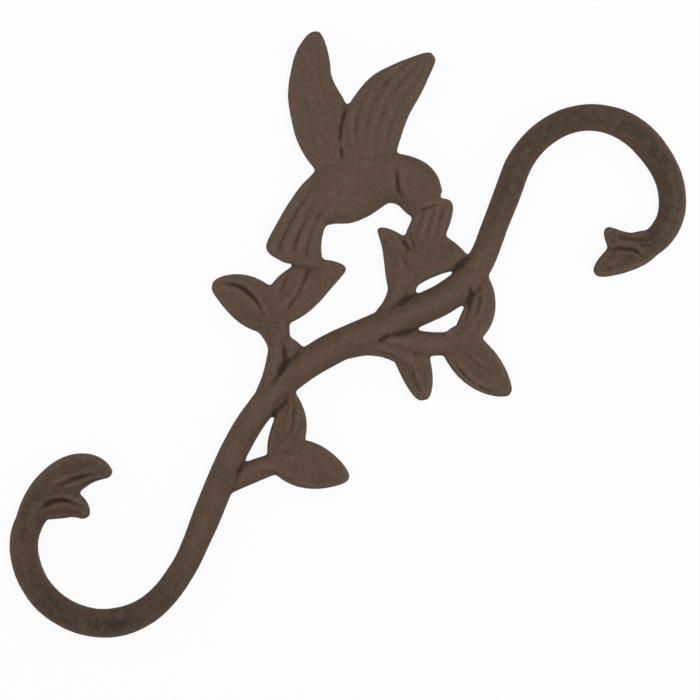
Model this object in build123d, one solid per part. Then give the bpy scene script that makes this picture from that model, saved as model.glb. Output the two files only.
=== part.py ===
"""Cast-iron plant hook: an S-shaped rod with leaf sprigs and a hovering bird.

The hook is one casting, modelled as it hangs. The origin is the hang seat, the
highest point of the upper bowl's inside. Z is up, X runs across the front and
Y through the thickness, with the front facing -Y. The mould parts at Y = 0, so
the front and the back are alike. Lengths are millimetres and angles degrees.
"""
from math import atan2, cos, degrees, hypot, pi, radians, sin, sqrt
import os

from build123d import *

# The rod and its two bowls
ROD_DIAMETER = 11.2
UPPER_BOWL_RADIUS = 27.0
LOWER_BOWL_RADIUS = 26.5
BOWL_SPACING = 237.5
CURL_RADIUS = 20.0
UPPER_CURL_START = 50.0
UPPER_CURL_END = -22.0
LOWER_CURL_START = -122.0
LOWER_CURL_END = -178.0

# The bends between the bowls. The first and the last stand outside the rod's centre line
# around a bowl, by a reach and at an angle; the middle one lies a share of the spacing down.
UPPER_BEND_REACH = 25.9
UPPER_BEND_ANGLE = -88.0
UPPER_BEND_RADIUS = 40.0
MIDDLE_BEND_OFFSET = -18.0
MIDDLE_BEND_SHARE = 0.619
MIDDLE_BEND_RADIUS = 88.0
LOWER_BEND_REACH = 1.1
LOWER_BEND_ANGLE = 40.4
LOWER_BEND_RADIUS = 75.0

# Half thicknesses, from the parting plane to the front
TWIG_ROOT_HEIGHT = 5.2
TWIG_TIP_HEIGHT = 3.3
LEAF_ROOT_HEIGHT = 4.4
LEAF_TIP_HEIGHT = 2.2
LOBE_ROOT_HEIGHT = 5.2
LOBE_TIP_HEIGHT = 2.6
LOBE_HEIGHTS = (LOBE_ROOT_HEIGHT, LOBE_TIP_HEIGHT)
BODY_HEIGHT = 5.4
NEAR_WING_HEIGHT = 4.2
FAR_WING_HEIGHT = 2.9
WING_TIP_HEIGHT = 2.0
TAIL_HEIGHT = 3.8
BLOSSOM_HEIGHT = 4.6
BLOSSOM_ROOT_HEIGHT = 2.8

# How far down between the bowls' centres each sprig leaves the rod, as a share of the spacing
LEFT_SPRIG_SHARE = 0.627
LOWER_SPRIG_SHARE = 0.762
RIGHT_SPRIG_SHARE = 0.4
BLOSSOM_SHARE = 0.358

# The bird's beak point from the blossom's root, as all outlines in hundredths of the spacing
BIRD_OFFSET = (-13.01, 13.47)

# Where the sections of stalks and leaves stand, and how a leaf swells towards its middle
TWIG_STATIONS = (0, 0.33, 0.67, 1)
LEAF_STATIONS = (0.08, 0.22, 0.4, 0.58, 0.76, 0.9, 0.985)
LEAF_SWELL = 0.8
LEAF_FULLNESS = 0.68
HALVINGS = 40

# Front halves of the sections: share of the half width, share of the half thickness
LEAF_PROFILE = ((-1, 0.35), (-0.8, 0.62), (-0.14, 0.72), (0, 1), (0.14, 0.72), (0.8, 0.62), (1, 0.35))
EDGE_HEIGHT = 0.4
EDGE_SHARE = 0.14
GROOVE_HEIGHT = 0.76


def flat(point, depth=0.0):
    """Put an (across, up) point into space, at a depth from the parting plane."""
    return Vector(point[0], depth, point[1])


def drawn(point):
    """Put a point of an outline, in hundredths of the spacing, into space."""
    return flat(point) * UNIT


def shifted(point, offset):
    """Move an (across, up) point by an (across, up) offset."""
    return (point[0] + offset[0], point[1] + offset[1])


def around(centre, radius, angle):
    """Point of a circle at an angle from +X towards +Z."""
    return (centre[0] + radius * cos(radians(angle)), centre[1] + radius * sin(radians(angle)))


def tangent_angle(centre, radius, corner, side):
    """Angle at which the line from a corner touches a circle, on the given side."""
    across = corner[0] - centre[0]
    up = corner[1] - centre[1]
    spread = degrees(atan2(sqrt(hypot(across, up) ** 2 - radius**2), radius))
    return degrees(atan2(up, across)) + side * spread


def bow(centre, radius, start, end):
    """Arc of a circle between two angles."""
    middle = (start + end) / 2
    return ThreePointArc(*(flat(around(centre, radius, angle)) for angle in (start, middle, end)))


UNIT = BOWL_SPACING / 100
ROD_RADIUS = ROD_DIAMETER / 2
UPPER_CROWN = UPPER_BOWL_RADIUS + ROD_RADIUS
LOWER_CROWN = LOWER_BOWL_RADIUS + ROD_RADIUS
UPPER_CENTRE = (0.0, -UPPER_BOWL_RADIUS)
LOWER_CENTRE = (0.0, -UPPER_BOWL_RADIUS - BOWL_SPACING)
CORNERS = (
    around(UPPER_CENTRE, UPPER_CROWN + UPPER_BEND_REACH, UPPER_BEND_ANGLE),
    (MIDDLE_BEND_OFFSET, UPPER_CENTRE[1] - MIDDLE_BEND_SHARE * BOWL_SPACING),
    around(LOWER_CENTRE, LOWER_CROWN + LOWER_BEND_REACH, LOWER_BEND_ANGLE),
)
BEND_RADII = [UPPER_BEND_RADIUS, MIDDLE_BEND_RADIUS, LOWER_BEND_RADIUS]
UPPER_LEAVE = tangent_angle(UPPER_CENTRE, UPPER_CROWN, CORNERS[0], -1) % 360
LOWER_LEAVE = tangent_angle(LOWER_CENTRE, LOWER_CROWN, CORNERS[-1], -1)
UPPER_CURL_CENTRE = around(UPPER_CENTRE, UPPER_CROWN - CURL_RADIUS, UPPER_CURL_START)
LOWER_CURL_CENTRE = around(LOWER_CENTRE, LOWER_CROWN - CURL_RADIUS, LOWER_CURL_START)


def middle_run():
    """Centre line between the bowls: straight runs joined by tangent bends."""
    start = around(UPPER_CENTRE, UPPER_CROWN, UPPER_LEAVE)
    end = around(LOWER_CENTRE, LOWER_CROWN, LOWER_LEAVE)
    route = [flat(point) for point in (start, *CORNERS, end)]
    return FilletPolyline(*route, radius=BEND_RADII)


MIDDLE_RUN = middle_run()


def rod_point(share):
    """Point of the middle run at a share of the way down, found by halving."""
    level = UPPER_CENTRE[1] - share * BOWL_SPACING
    near, far = 0.0, 1.0
    for _ in range(HALVINGS):
        half = (near + far) / 2
        if MIDDLE_RUN.position_at(half).Z > level:
            near = half
        else:
            far = half
    place = MIDDLE_RUN.position_at(half)
    return (place.X, place.Z)


def rod():
    """Round rod along the whole S, bowl to bowl."""
    curls = (
        bow(UPPER_CURL_CENTRE, CURL_RADIUS, UPPER_CURL_END, UPPER_CURL_START),
        bow(UPPER_CENTRE, UPPER_CROWN, UPPER_CURL_START, UPPER_LEAVE),
    )
    cradles = (
        bow(LOWER_CENTRE, LOWER_CROWN, LOWER_LEAVE, LOWER_CURL_START),
        bow(LOWER_CURL_CENTRE, CURL_RADIUS, LOWER_CURL_START, LOWER_CURL_END),
    )
    path = Wire([*curls, *MIDDLE_RUN.edges(), *cradles])
    start = Plane(origin=path @ 0, z_dir=path % 0)
    return sweep(start * Circle(ROD_RADIUS), path=path)


def section(left, right, height, profile):
    """Closed face across a form: the profile in front, and its mirror image behind."""
    middle = (drawn(left) + drawn(right)) * 0.5
    half = (drawn(right) - drawn(left)) * 0.5
    front = [middle + half * u - Vector(0, height * v, 0) for u, v in profile]
    back = [middle + half * u + Vector(0, height * v, 0) for u, v in reversed(profile)]
    return make_face(Polyline(*front, *back, close=True))


def blade(chords, heights, profile):
    """Loft of sections standing on the chords, whose height runs evenly along them."""
    last = len(chords) - 1
    faces = []
    for index, (left, right) in enumerate(chords):
        height = heights[0] + (heights[1] - heights[0]) * index / last
        faces.append(section(left, right, height, profile))
    return loft(faces)


def bend_point(root, bend, tip, share):
    """Point of the curve from root to tip that is drawn towards the bend."""
    weights = ((1 - share) ** 2, 2 * share * (1 - share), share**2)
    return tuple(sum(w * p[axis] for w, p in zip(weights, (root, bend, tip))) for axis in (0, 1))


def bend_heading(root, bend, tip, share):
    """Unit direction of that curve."""
    along = [2 * (1 - share) * (bend[a] - root[a]) + 2 * share * (tip[a] - bend[a]) for a in (0, 1)]
    size = hypot(*along)
    return (along[0] / size, along[1] / size)


def leaf(root, bend, tip, width, heights=(LEAF_ROOT_HEIGHT, LEAF_TIP_HEIGHT)):
    """Leaf along a bent midrib: a raised rib, two flat halves and bevelled edges."""
    chords = []
    for share in LEAF_STATIONS:
        half = width / 2 * sin(pi * share**LEAF_SWELL) ** LEAF_FULLNESS
        middle = bend_point(root, bend, tip, share)
        along = bend_heading(root, bend, tip, share)
        side = (-along[1] * half, along[0] * half)
        chords.append((shifted(middle, side), (middle[0] - side[0], middle[1] - side[1])))
    return blade(chords, heights, LEAF_PROFILE)


def twig(root, bend, tip, root_width, tip_width):
    """Oval stalk that tapers along a bent line."""
    faces = []
    for share in TWIG_STATIONS:
        along = flat(bend_heading(root, bend, tip, share))
        middle = drawn(bend_point(root, bend, tip, share))
        place = Plane(origin=middle, x_dir=along.cross(Vector(0, 1, 0)), z_dir=along)
        half = (root_width + (tip_width - root_width) * share) * UNIT / 2
        height = TWIG_ROOT_HEIGHT + (TWIG_TIP_HEIGHT - TWIG_ROOT_HEIGHT) * share
        faces.append(place * Ellipse(half, height))
    return loft(faces)


def ribbed(count):
    """Profile of ribs side by side, with a groove between neighbours and a bevel at each edge."""
    pitch = 2 * (1 - EDGE_SHARE) / count
    points = [(-1, EDGE_HEIGHT)]
    for index in range(count):
        left = EDGE_SHARE - 1 + pitch * index
        if index > 0:
            points.append((left, GROOVE_HEIGHT))
        points.append((left + pitch / 2, 1))
    return (*points, (1, EDGE_HEIGHT))


def left_sprig():
    """Two broad leaves on a thick stalk, under the bird's tail."""
    return [
        twig((2.32, -1.26), (-3.37, 3.79), (-10.74, 9.89), 6.32, 2.95),
        leaf((-8.42, 7.79), (-15.58, 7.37), (-21.39, 2.32), 8.42),
        leaf((-8.63, 5.47), (-14.53, 14.57), (-9.77, 22.95), 7.58),
    ]


def lower_sprig():
    """Two leaves on a short stalk; one leans back on the rod and leaves a slit."""
    return [
        twig((1.26, -3.37), (2.32, 3.37), (4.84, 10.53), 4.21, 2.95),
        leaf((3.58, 6.74), (1.77, 13.26), (-5.05, 16.21), 6.32),
        leaf((2.44, 7.07), (7.54, 12.46), (13.68, 16.08), 7.58),
    ]


def right_sprig():
    """Three leaves on a short stalk; one leans back on the rod and leaves a slit."""
    return [
        twig((0, -1.26), (6.74, 2.11), (10.53, 9.05), 4.63, 2.95),
        twig((-1.68, -8.42), (0, -2.11), (7.16, 0), 4.63, 2.95),
        leaf((6.4, 7.71), (15.03, 8.17), (21.6, 10.44), 7.58),
        leaf((1.68, 0.84), (8.42, 0.42), (14.74, -2.19), 6.32),
        leaf((8.97, 7.16), (8.67, 14.74), (1.77, 18.44), 5.47),
    ]


def blossom():
    """Ribbed trumpet under the beak, between a leaf and a sepal that meets the rod."""
    trumpet = (
        ((-15.16, 10.95), (-13.05, 16.63)),
        ((-13.89, 9.89), (-11.45, 16.55)),
        ((-12.46, 8.97), (-9.68, 15.66)),
        ((-11.24, 6.95), (-7.28, 12.63)),
        ((-7.37, 4.21), (-5.05, 7.16)),
    )
    return [
        twig((-0.84, -3.79), (-2.11, 0.84), (-7.16, 3.79), 4.21, 2.74),
        leaf((-1.68, -0.63), (-7.37, 5.26), (-15.07, 4.97), 6.32),
        leaf((-3.79, 1.35), (-8.25, 9.09), (-1.26, 13.68), 5.68),
        blade(trumpet, (BLOSSOM_HEIGHT, BLOSSOM_ROOT_HEIGHT), ribbed(3)),
    ]


def bird_body():
    """Round body, neck and head in one run from the tail to the beak."""
    chords = (
        ((-13.89, -18.53), (-8, -17.68)),
        ((-15.37, -15.16), (-6.95, -15.16)),
        ((-16.08, -11.79), (-5.6, -12.63)),
        ((-15.37, -7.58), (-4.88, -9.26)),
        ((-13.47, -3.37), (-4.8, -5.89)),
        ((-10.74, 0.21), (-4.42, -5.05)),
        ((-8.34, 2.36), (-3.37, -4.34)),
        ((-5.85, 3.62), (-1.47, -4.21)),
        ((-3.37, 3.79), (0, -3.58)),
        ((-0.84, 2.95), (1.26, -2.53)),
    )
    faces = []
    for back, belly in chords:
        middle = (drawn(back) + drawn(belly)) * 0.5
        across = drawn(belly) - drawn(back)
        place = Plane(origin=middle, x_dir=across, z_dir=across.cross(Vector(0, 1, 0)))
        faces.append(place * Ellipse(across.length / 2, BODY_HEIGHT))
    return loft(faces)


def bird():
    """Hovering bird: body and head, two raised wings and a fanned tail, all feathered."""
    near_wing = (
        ((-13.89, -10.11), (-7.37, -4.84)),
        ((-16.76, -7.37), (-9.39, -1.68)),
        ((-19.49, -4.93), (-11.16, 0.63)),
        ((-22.4, -1.05), (-12.63, 2.53)),
        ((-23.58, 3.79), (-14.74, 5.68)),
        ((-23.12, 8.42), (-16.63, 9.52)),
        ((-22.32, 11.79), (-18.02, 12.29)),
        ((-21.64, 13.89), (-19.12, 14.15)),
        ((-21.05, 14.82), (-19.79, 14.91)),
    )
    far_wing = (
        ((-13.89, -12), (-12.21, -5.47)),
        ((-18.11, -12.55), (-15.79, -5.05)),
        ((-22.11, -12.08), (-19.37, -3.58)),
        ((-25.68, -10.74), (-23.16, -1.77)),
        ((-29.05, -8.97), (-26.95, -1.05)),
        ((-32, -6.32), (-30.11, 0.13)),
        ((-34.32, -3.49), (-32.55, 0.97)),
        ((-35.37, -0.84), (-34.11, 1.52)),
        ((-35.45, 0.51), (-34.78, 1.52)),
    )
    tail = (
        ((-15.58, -10.95), (-9.26, -10.95)),
        ((-15.49, -14.86), (-8.42, -14.53)),
        ((-14.11, -19.2), (-7.03, -17.18)),
        ((-12.38, -23.03), (-5.39, -18.86)),
        ((-10.95, -25.98), (-4, -19.79)),
        ((-9.68, -27.12), (-3.16, -20.21)),
        ((-7.79, -26.65), (-2.32, -21.05)),
    )
    return [
        bird_body(),
        blade(near_wing, (NEAR_WING_HEIGHT, WING_TIP_HEIGHT), ribbed(4)),
        blade(far_wing, (FAR_WING_HEIGHT, WING_TIP_HEIGHT), ribbed(3)),
        blade(tail, (TAIL_HEIGHT, TAIL_HEIGHT), ribbed(3)),
    ]


def upper_finial():
    """Two leaf lobes at the end of the upper bowl, around the curl's end."""
    return [
        leaf((0.25, 5.05), (1.09, -2.11), (-1.6, -7.49), 5.47, LOBE_HEIGHTS),
        leaf((-0.13, 2.11), (-1.18, -1.52), (-6.06, -1.6), 4.42, LOBE_HEIGHTS),
    ]


def lower_finial():
    """Two leaf lobes at the end of the lower bowl, around the curl's end."""
    return [
        leaf((-0.76, -4.63), (-3.79, 9.47), (2.53, 12.21), 6.44, LOBE_HEIGHTS),
        leaf((0, -0.84), (1.68, 4.63), (6.32, 4.42), 4.84, LOBE_HEIGHTS),
    ]


def fused(pieces):
    """Join overlapping pieces, one after another, into one solid."""
    whole, *others = pieces
    for piece in others:
        whole = whole.fuse(piece)
    return whole


def placed(pieces, point):
    """Join a group's pieces and move them so that its own zero lies on a point."""
    return Pos(*flat(point)) * fused(pieces)


def all_pieces():
    """The rod and every group that grows from it."""
    blossom_root = rod_point(BLOSSOM_SHARE)
    beak = shifted(blossom_root, (BIRD_OFFSET[0] * UNIT, BIRD_OFFSET[1] * UNIT))
    return [
        rod(),
        placed(left_sprig(), rod_point(LEFT_SPRIG_SHARE)),
        placed(lower_sprig(), rod_point(LOWER_SPRIG_SHARE)),
        placed(right_sprig(), rod_point(RIGHT_SPRIG_SHARE)),
        placed(blossom(), blossom_root),
        placed(bird(), beak),
        placed(upper_finial(), around(UPPER_CURL_CENTRE, CURL_RADIUS, UPPER_CURL_END)),
        placed(lower_finial(), around(LOWER_CURL_CENTRE, CURL_RADIUS, LOWER_CURL_END)),
    ]


os.makedirs("parts", exist_ok=True)
export_step(fused(all_pieces()), "parts/hook_casting.step")
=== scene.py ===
"""Looks of a cast-iron plant hook, laid out as an add-on and run as a script.

The casting is one piece. Its forms are surfaces worked out in hanging millimetres,
across (X), depth (Y) and up (Z), with the hang seat at zero and the front facing -Y.
They are joined into one skin, which gets cast fillets, scored lines and sand grain.
"""

import bpy
import numpy as np
from mathutils import Matrix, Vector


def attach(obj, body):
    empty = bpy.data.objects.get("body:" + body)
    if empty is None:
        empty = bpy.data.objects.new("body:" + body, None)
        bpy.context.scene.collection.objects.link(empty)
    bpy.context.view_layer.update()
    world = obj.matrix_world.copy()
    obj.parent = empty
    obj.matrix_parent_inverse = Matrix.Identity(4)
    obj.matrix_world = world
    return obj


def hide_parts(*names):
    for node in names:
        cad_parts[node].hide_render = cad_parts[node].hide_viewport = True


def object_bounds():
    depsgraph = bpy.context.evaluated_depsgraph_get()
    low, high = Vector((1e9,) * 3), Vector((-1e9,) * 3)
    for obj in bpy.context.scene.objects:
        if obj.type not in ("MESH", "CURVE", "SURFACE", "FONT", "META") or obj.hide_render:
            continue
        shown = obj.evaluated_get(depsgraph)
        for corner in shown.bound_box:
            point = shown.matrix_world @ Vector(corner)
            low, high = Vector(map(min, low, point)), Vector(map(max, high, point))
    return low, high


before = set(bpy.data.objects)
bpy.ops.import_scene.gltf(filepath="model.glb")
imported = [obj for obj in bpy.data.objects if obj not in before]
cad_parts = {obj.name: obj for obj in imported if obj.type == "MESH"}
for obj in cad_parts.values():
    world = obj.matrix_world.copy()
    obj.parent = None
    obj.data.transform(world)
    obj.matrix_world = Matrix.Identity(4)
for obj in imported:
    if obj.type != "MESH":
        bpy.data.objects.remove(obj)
CAD_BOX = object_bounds()

bl_info = {
    "name": "Plant Hook Casting",
    "version": (1, 0, 0),
    "blender": (4, 5, 0),
    "location": "View3D > Sidebar > Plant Hook",
    "description": "A cast-iron plant hook with leaf sprigs and a hovering bird",
    "category": "Mesh",
}

MM = 0.001
CASTING_NODE = "hook_casting"

# Stations along a form, points across a plate's front and points around an oval
ALONG = 72
ACROSS = 41
AROUND = 48
TRIANGLE_LIMIT = 200000

# A leaf's first and last station, the power that moves its widest place towards the root, and
# what is left of its height at the root and at the tip
LEAF_RUN = (0.02, 0.988)
LEAF_SWELL = 0.8
LEAF_LOWERED = (0.78, 0.84)

# A stalk's first station, and the share of its way over which its root closes
TWIG_START = 0.002
TWIG_CLOSING = 0.12

# Share by which leaves and plates fall from the middle to the edge
LEAF_FALL = 0.1
PLATE_FALL = 0.22

# Feather lines: run along the plate, points, steps of the plate they are read from, reach across
LINE_RUN = (0.08, 0.95)
LINE_POINTS = 40
LINE_STEPS = 200
LINE_REACH = 0.96

# Scored lines: points, reach in widths, and the points over which an end fades
SCORE_POINTS = 70
SCORE_REACH = 4
SCORE_FADE = (-4, 24)

# Steps over which the rod's sway and swell are averaged
SWAY_STEPS = 13

# Shares of the way to the neighbours' mean: in inner corners, elsewhere, and in the last pass
FILLET_FILL = 0.55
FILLET_WEAR = 0.2
LAST_SMOOTHING = 0.3

# Noise: width of a cell in millimetres, and seed
COARSE_GRAIN = (2.6, 1)
FINE_GRAIN = (1.2, 2)
CUT_NOISE = (5.0, 3)
WOBBLE = (9.0, 4)

# Hollows for the finish, where rust and painted shade go: smoothing passes of the surroundings, and the
# depth in millimetres that counts full
FINE_HOLLOW = (6, 0.12)
BROAD_HOLLOW = (60, 0.55)

# Millimetres over which painted zones fade: from a bowl's centre, and from a lobe's middle line
BOWL_FADE = (38, 46)
LOBE_FADE = (4, 9)

# Painted shade along the rod's crest, in shares of its length from its middle: where it sets in upwards
# and downwards, and where it weakens towards the lower end and by how much
UPPER_CREST = (0.12, 0.24)
LOWER_CREST = (0.2, 0.34)
CREST_END = (0.4, 0.46)
CREST_END_LOSS = 0.35

# Millimetres beside the rod's line: full painted shade, its least reach, and what full darkness adds to
# it
CREST_FULL = 0.6
CREST_REACH = 3.6
CREST_WIDENING = 1.8
CREST_BATCHES = 60

# The stage: point that the camera and the lamps face, and half the width of floor and backdrop
VIEW_CENTRE = (-0.006542, 0.0, -0.139836)
STAGE_REACH = 3.0

# Lamps: name, place from that point, size and share of the power
LAMPS = (
    ("front_lamp", (0.1, -0.9, 0.2), 0.3, 1.25),
    ("left_lamp", (-0.22, -0.13, -0.26), 0.2, 0.25),
    ("right_lamp", (0.22, -0.13, 0.26), 0.2, 0.12),
    ("top_lamp", (-0.5, -0.6, 0.6), 0.6, 0.5),
    ("back_lamp", (0.2, 0.9, 0.6), 0.6, 1.6),
)

# The rod's curls and bends: degrees, millimetres and shares of the spacing
CURL_RADIUS = 20.0
UPPER_CURL = (-22.0, 50.0)
LOWER_CURL = (-122.0, -178.0)
UPPER_BEND = (25.9, -88.0, 40.0)
MIDDLE_BEND = (-18.0, 0.619, 88.0)
LOWER_BEND = (1.1, 40.4, 75.0)

# Sway and swell of the rod: way along it, offset to the left and extra radius
ROD_SWAY = (
    (0, 0.0, -1.2), (6, -0.1, -0.5), (12, -0.25, -0.3), (24, -0.65, -0.3), (36, -0.3, -0.15),
    (48, 0.65, 0.2), (60, -0.05, 0.35), (72, -0.65, -0.2), (84, -0.5, -0.45), (96, 0.15, -0.37),
    (108, 0.8, -0.4), (120, 0.7, -0.25), (132, 0.45, -0.25), (144, -0.1, -0.45), (156, -0.3, -0.2),
    (168, -0.5, 0.4), (180, -0.7, 0.7), (192, -0.4, 0.7), (204, 0.0, 0.7), (228, 0.2, 0.75),
    (240, 0.3, 0.4), (252, 0.4, 0.0), (276, 0.6, -0.2), (288, 0.5, -0.1), (300, 0.35, 0.2),
    (312, 0.5, 0.12), (324, 0.6, -0.3), (336, 0.3, -0.6), (348, -0.85, -0.35), (360, -0.6, -0.12),
    (372, -0.1, 0.1), (396, 0.05, -0.08), (408, 0.3, 0.0), (432, 0.4, 0.0),
    (438, 0.4, 0.1), (444, 0.4, -0.6),
)

# Half thicknesses at the root and at the tip of each kind of form
TWIG_HEIGHTS = (5.2, 3.3)
LEAF_HEIGHTS = (4.0, 2.3)
LOBE_HEIGHTS = (5.8, 2.8)
NEAR_WING_HEIGHTS = (4.4, 2.2)
FAR_WING_HEIGHTS = (3.1, 2.2)
TAIL_HEIGHTS = (4.2, 3.6)
BLOSSOM_HEIGHTS = (4.8, 3.6)
SEPAL_HEIGHTS = (3.2, 3.2)
WEB_HEIGHTS = (3.0, 3.0)
BODY_HEIGHTS = (3.4, 4.6, 5.3, 5.5, 5.4, 5.1, 4.9, 4.9, 4.8, 4.4)

# Stalks: root, bend, tip, root width and tip width
TWIGS = (
    ((-9.2, -179.4), (-16.3, -166.4), (-36.1, -152.9), 11.0, 6.6),
    ((6.8, -216.2), (9.9, -200.6), (15.3, -183.2), 10.4, 7.6),
    ((-5.5, -125.5), (9.8, -117.2), (17.2, -99.4), 11.0, 8.6),
    ((-9.6, -142.4), (-5.6, -127.5), (11.2, -122.3), 11.6, 7.5),
    ((-7.8, -122.2), (-9.7, -112.6), (-21.4, -105.0), 11.2, 7.0),
)

# Leaves: root, bend, tip, width, rise of the rib along the middle, and power of the width's curve
LEAVES = (
    ((-29.7, -158.2), (-48.4, -158.9), (-59.7, -170.2), 18.9, 0.5, 0.56),
    ((-33.3, -161.3), (-42.6, -139.5), (-33.9, -122.0), 18.6, 0.6, 0.7),
    ((12.3, -191.4), (8.1, -175.7), (-8.4, -168.9), 14.2, 0.7, 0.6),
    ((9.0, -190.8), (22.2, -178.8), (35.4, -169.8), 18.6, 0.2, 0.62),
    ((9.0, -103.7), (29.5, -102.6), (45.0, -97.4), 17.6, 0.2, 0.6),
    ((-1.8, -119.5), (13.0, -121.0), (27.2, -127.4), 13.4, 0.5, 0.42),
    ((15.7, -104.6), (15.4, -86.5), (-2.4, -78.4), 12.7, 0.7, 0.68),
    ((-9.3, -115.0), (-23.1, -96.4), (-40.1, -102.9), 13.7, 0.8, 0.68),
)

# Lobes at the curls' ends, as leaves
LOBES = (
    ((29.1, -12.9), (25.5, -26.2), (25.1, -42.4), 13.6, 0.3, 0.5),
    ((26.9, -20.3), (24.6, -28.4), (12.5, -28.0), 10.7, 0.3, 0.55),
    ((-24.2, -289.0), (-38.6, -254.0), (-20.6, -246.5), 15.6, 0.4, 0.55),
    ((-24.8, -279.9), (-24.9, -263.4), (-12.4, -264.5), 11.4, 0.3, 0.5),
)

# How far the lobes take the darker colour of the painted shade on the rod's crests
LOBE_SHADE = 0.42

# Rows from root to tip, each with its left and its right end
NEAR_WING = (
    ((-67.9, -104.0), (-52.1, -91.1)),
    ((-74.4, -97.2), (-56.9, -83.6)),
    ((-82.5, -90.9), (-61.1, -78.1)),
    ((-87.6, -81.9), (-64.6, -73.6)),
    ((-90.8, -70.0), (-69.6, -66.1)),
    ((-89.8, -60.0), (-74.1, -57.0)),
    ((-87.9, -52.0), (-77.7, -50.8)),
    ((-86.3, -47.0), (-80.3, -46.4)),
    ((-84.9, -44.8), (-81.9, -44.6)),
)
FAR_WING = (
    ((-67.9, -108.5), (-63.9, -93.0)),
    ((-77.9, -109.8), (-72.4, -92.0)),
    ((-87.4, -108.7), (-80.0, -87.5)),
    ((-95.9, -105.5), (-88.5, -84.2)),
    ((-103.9, -101.3), (-99.1, -82.9)),
    ((-110.9, -95.0), (-106.0, -79.5)),
    ((-116.4, -88.3), (-111.8, -77.2)),
    ((-118.9, -82.0), (-115.9, -76.4)),
    ((-119.1, -78.8), (-117.5, -76.4)),
)
TAIL = (
    ((-72.1, -106.3), (-56.9, -106.0)),
    ((-71.9, -115.6), (-54.9, -114.5)),
    ((-68.6, -125.9), (-51.4, -121.0)),
    ((-64.5, -135.0), (-47.5, -125.0)),
    ((-60.6, -142.4), (-44.4, -127.0)),
    ((-56.8, -143.9), (-42.4, -128.0)),
    ((-50.1, -141.0), (-40.4, -130.0)),
)
TRUMPET = (
    ((-40.0, -86.0), (-34.0, -74.0)),
    ((-36.1, -87.8), (-31.5, -72.6)),
    ((-33.9, -91.1), (-27.7, -74.7)),
    ((-30.7, -95.5), (-22.1, -81.9)),
    ((-21.5, -102.0), (-16.0, -95.0)),
)
SEPAL = (
    ((-20.0, -106.0), (-11.5, -108.4)),
    ((-23.0, -100.0), (-11.9, -101.5)),
    ((-24.0, -94.0), (-11.0, -95.5)),
    ((-24.0, -88.0), (-9.5, -90.1)),
    ((-22.5, -83.2), (-7.6, -86.3)),
    ((-17.5, -80.8), (-3.5, -83.5)),
    ((-12.4, -79.8), (-3.5, -80.6)),
)
WEB = (
    ((-28.0, -162.0), (-26.0, -156.9)),
    ((-22.0, -164.0), (-21.2, -155.2)),
    ((-16.0, -166.0), (-16.4, -154.4)),
)
AXIL = (
    ((-38.0, -159.0), (-37.5, -166.0)),
    ((-31.0, -158.0), (-31.6, -165.4)),
    ((-25.0, -160.0), (-26.4, -166.0)),
    ((-20.0, -163.5), (-22.2, -168.8)),
)
BODY = (
    ((-67.9, -124.0), (-53.9, -122.0)),
    ((-71.4, -116.0), (-51.4, -116.0)),
    ((-73.1, -108.0), (-47.8, -110.3)),
    ((-71.4, -98.0), (-46.0, -102.3)),
    ((-66.9, -88.0), (-45.8, -94.3)),
    ((-60.4, -79.5), (-44.9, -92.3)),
    ((-54.7, -74.4), (-42.5, -90.6)),
    ((-48.8, -71.4), (-38.4, -90.0)),
    ((-42.9, -71.0), (-34.9, -88.5)),
    ((-36.9, -73.0), (-31.9, -86.0)),
)

# Feather lines of a plate: places across it at the root and at the tip
NEAR_FEATHERS = ((0.76, 0.3), (0.5, -0.4), (0.22, -1.0), (-0.05, -1.6), (-0.34, -2.2), (-0.62, -2.8))
FAR_FEATHERS = ((-0.45, -0.2), (0.0, 0.2), (0.45, 0.55))
TAIL_FEATHERS = ((-0.5, -0.5), (0.02, 0.0), (0.5, 0.46))
TRUMPET_FLUTES = ((-0.5, -0.55), (0.0, 0.0), (0.46, 0.5))

# Feathered plates: rows, lines, width, depth, and rise of the ridge beside each line
FEATHERED = (
    (NEAR_WING, NEAR_FEATHERS, 1.1, 0.34, 0.2),
    (FAR_WING, FAR_FEATHERS, 1.0, 0.16, 0.12),
    (TAIL, TAIL_FEATHERS, 1.4, 0.6, 0.4),
    (TRUMPET, TRUMPET_FLUTES, 1.2, 0.32, 0.2),
)

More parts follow.
